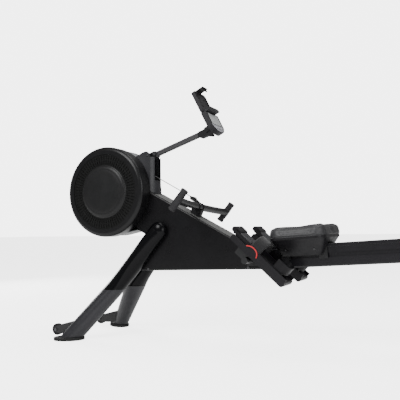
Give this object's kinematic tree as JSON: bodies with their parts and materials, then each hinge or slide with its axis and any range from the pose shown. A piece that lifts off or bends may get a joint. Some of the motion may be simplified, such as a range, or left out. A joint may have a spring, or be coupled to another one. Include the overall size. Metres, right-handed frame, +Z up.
{
  "type": "rowing machine",
  "caption": "Air rowing machine with a fan drum on splayed legs, a handle on a pull cord, footrests with straps, a monitor on an arm and a seat that rolls on a long rail.",
  "frame": {"origin": "centre of the bounding box's base, on the floor", "axes": "+X runs from the fan drum to the rear foot, +Y to the rower's left, +Z up; the rower faces -X"},
  "size_m": [2.3803, 0.5236, 1.1469],
  "materials": {
    "black_steel": "satin black powder coat",
    "drum_black": "black moulded plastic, slight sheen",
    "grille_black": "fine black grille",
    "shroud_grey": "mid grey plastic",
    "body_black": "gloss black plastic",
    "strip_grey": "light grey plastic",
    "column_grey": "dark grey plastic",
    "leg_gloss": "gloss black plastic",
    "leg_satin": "satin dark grey paint",
    "bare_steel": "bright steel",
    "black_rubber": "matte black rubber",
    "rail_black": "gloss black rail",
    "track_steel": "stainless running strip",
    "webbing": "black woven strap",
    "red_loop": "red pull loop",
    "pedal_black": "black moulded plastic",
    "pedal_grey": "grey moulded plastic",
    "fan_grey": "dark grey moulded fan",
    "cord_black": "black braided cord",
    "grip_grey": "dark grey soft grip",
    "cushion": "dark grey grained vinyl",
    "case_grey": "dark grey plastic",
    "screen": "pale liquid-crystal screen",
    "panel_grey": "mid grey membrane",
    "board_green": "circuit board",
    "button_grey": "light grey button",
    "pulley_dark": "black nylon"
  },
  "bodies": {
    "frame": {"main_frame": "black_steel", "shaft_bearings": "bare_steel", "frame_pins": "bare_steel", "fan_shroud": "shroud_grey", "drum_covers": "drum_black", "drum_grilles": "grille_black", "core_caps": "drum_black", "body_covers": "body_black", "spine_cover": "strip_grey", "column_shell": "column_grey", "cover_screws": "bare_steel", "leg_covers": "leg_gloss", "lower_legs": "leg_satin", "foot_pads": "black_rubber", "wheel_brackets": "black_steel", "rail_bar": "rail_black", "rail_tracks": "track_steel", "rail_end_fittings": "black_rubber", "rear_leg": "black_steel", "rear_foot_caps": "black_rubber", "foot_boards": "pedal_black", "foot_straps": "webbing", "strap_tabs": "red_loop", "footrest_brackets": "black_steel", "handle_cradle": "pedal_black", "arm_clevis": "black_steel", "drive_belt": "black_rubber", "cord_inner": "cord_black"},
    "flywheel": {"fan_wheel": "fan_grey", "fan_axle": "bare_steel"},
    "belt_drive": {"drive_pulley": "pulley_dark"},
    "spool": {"cord_spool": "pulley_dark"},
    "guide": {"guide_pulley": "pulley_dark"},
    "handle": {"handle_bar": "black_steel", "handle_grips": "grip_grey", "cord_yoke": "pedal_black", "pull_cord": "cord_black"},
    "seat": {"seat_cushion": "cushion", "seat_base": "pedal_black", "seat_carriage": "black_steel"},
    "front_top_rollers": {"upper_rollers_front": "pulley_dark"},
    "rear_top_rollers": {"upper_rollers_rear": "pulley_dark"},
    "front_low_rollers": {"lower_rollers_front": "pulley_dark"},
    "rear_low_rollers": {"lower_rollers_rear": "pulley_dark"},
    "arm": {"monitor_arm": "leg_satin", "arm_head": "pedal_black"},
    "console": {"console_case": "case_grey", "console_screen": "screen", "console_panel": "panel_grey", "console_board": "board_green", "holder_plate": "case_grey"},
    "clip": {"holder_clip": "pedal_black"},
    "button_1": {"console_button_1": "button_grey"},
    "button_2": {"console_button_2": "button_grey"},
    "button_3": {"console_button_3": "button_grey"},
    "right_wheel": {"transport_wheel_right": "black_rubber"},
    "left_wheel": {"transport_wheel_left": "black_rubber"},
    "right_heel": {"heel_slide_right": "pedal_grey"},
    "left_heel": {"heel_slide_left": "pedal_grey"}
  },
  "joints": [
    {"name": "flywheel_spin", "type": "hinge", "parent": "frame", "child": "flywheel", "pos_m": [-0.933, 0, 0.684], "axis": [0, 1, 0], "continuous": true},
    {"name": "drive_spin", "type": "hinge", "parent": "frame", "child": "belt_drive", "pos_m": [-0.569, 0, 0.503], "axis": [0, 1, 0], "continuous": true},
    {"name": "spool_turn", "type": "hinge", "parent": "frame", "child": "spool", "pos_m": [-0.569, 0, 0.503], "axis": [0, 1, 0], "range_deg": [0, 1401.06]},
    {"name": "guide_turn", "type": "hinge", "parent": "frame", "child": "guide", "pos_m": [-0.7466, 0, 0.7466], "axis": [0, 1, 0], "range_deg": [0, 3501.91]},
    {"name": "handle_pull", "type": "slide", "parent": "frame", "child": "handle", "axis": [0.9798, 0, 0.2], "range_m": [0, 1.1], "deforming": ["pull_cord"]},
    {"name": "seat_slide", "type": "slide", "parent": "frame", "child": "seat", "axis": [0.9981, 0, 0.0623], "range_m": [0, 0.9]},
    {"name": "front_top_roll", "type": "hinge", "parent": "seat", "child": "front_top_rollers", "pos_m": [-0.07302, 0, 0.44031], "axis": [0, 1, 0], "range_deg": [0, 4297.68]},
    {"name": "rear_top_roll", "type": "hinge", "parent": "seat", "child": "rear_top_rollers", "pos_m": [0.07669, 0, 0.44965], "axis": [0, 1, 0], "range_deg": [0, 4297.68]},
    {"name": "front_low_roll", "type": "hinge", "parent": "seat", "child": "front_low_rollers", "pos_m": [-0.06945, 0, 0.38312], "axis": [0, 1, 0], "range_deg": [-7162.47, 0]},
    {"name": "rear_low_roll", "type": "hinge", "parent": "seat", "child": "rear_low_rollers", "pos_m": [0.08026, 0, 0.39247], "axis": [0, 1, 0], "range_deg": [-7162.47, 0]},
    {"name": "arm_tilt", "type": "hinge", "parent": "frame", "child": "arm", "pos_m": [-0.712, 0, 0.858], "axis": [0, 1, 0], "range_deg": [-40, 5]},
    {"name": "console_tilt", "type": "hinge", "parent": "arm", "child": "console", "pos_m": [-0.439, 0, 0.944], "axis": [0, 1, 0], "range_deg": [-20, 20]},
    {"name": "clip_slide", "type": "slide", "parent": "console", "child": "clip", "axis": [-0.454, 0, 0.891], "range_m": [0, 0.03], "stiffness_N_per_m": 120, "springref_m": -0.02},
    {"name": "right_wheel_spin", "type": "hinge", "parent": "frame", "child": "right_wheel", "pos_m": [-1.163, -0.17, 0.037], "axis": [0, 1, 0], "continuous": true},
    {"name": "left_wheel_spin", "type": "hinge", "parent": "frame", "child": "left_wheel", "pos_m": [-1.163, 0.17, 0.037], "axis": [0, 1, 0], "continuous": true},
    {"name": "right_heel_slide", "type": "slide", "parent": "frame", "child": "right_heel", "axis": [0.7396, 0, -0.673], "range_m": [0, 0.06]},
    {"name": "left_heel_slide", "type": "slide", "parent": "frame", "child": "left_heel", "axis": [0.7396, 0, -0.673], "range_m": [0, 0.06]},
    {"name": "button_1_press", "type": "slide", "parent": "console", "child": "button_1", "axis": [-0.891, 0, -0.454], "range_m": [0, 0.0012], "stiffness_N_per_m": 400, "springref_m": -0.0005},
    {"name": "button_2_press", "type": "slide", "parent": "console", "child": "button_2", "axis": [-0.891, 0, -0.454], "range_m": [0, 0.0012], "stiffness_N_per_m": 400, "springref_m": -0.0005},
    {"name": "button_3_press", "type": "slide", "parent": "console", "child": "button_3", "axis": [-0.891, 0, -0.454], "range_m": [0, 0.0012], "stiffness_N_per_m": 400, "springref_m": -0.0005}
  ],
  "couplings": [
    {"joint": "drive_spin", "follows": "flywheel_spin", "ratio": 0.43182},
    {"joint": "spool_turn", "follows": "handle_pull", "rad_per_m": 22.222},
    {"joint": "guide_turn", "follows": "handle_pull", "rad_per_m": 55.556},
    {"joint": "front_top_roll", "follows": "seat_slide", "rad_per_m": 83.333},
    {"joint": "rear_top_roll", "follows": "seat_slide", "rad_per_m": 83.333},
    {"joint": "front_low_roll", "follows": "seat_slide", "rad_per_m": -138.89},
    {"joint": "rear_low_roll", "follows": "seat_slide", "rad_per_m": -138.89}
  ]
}
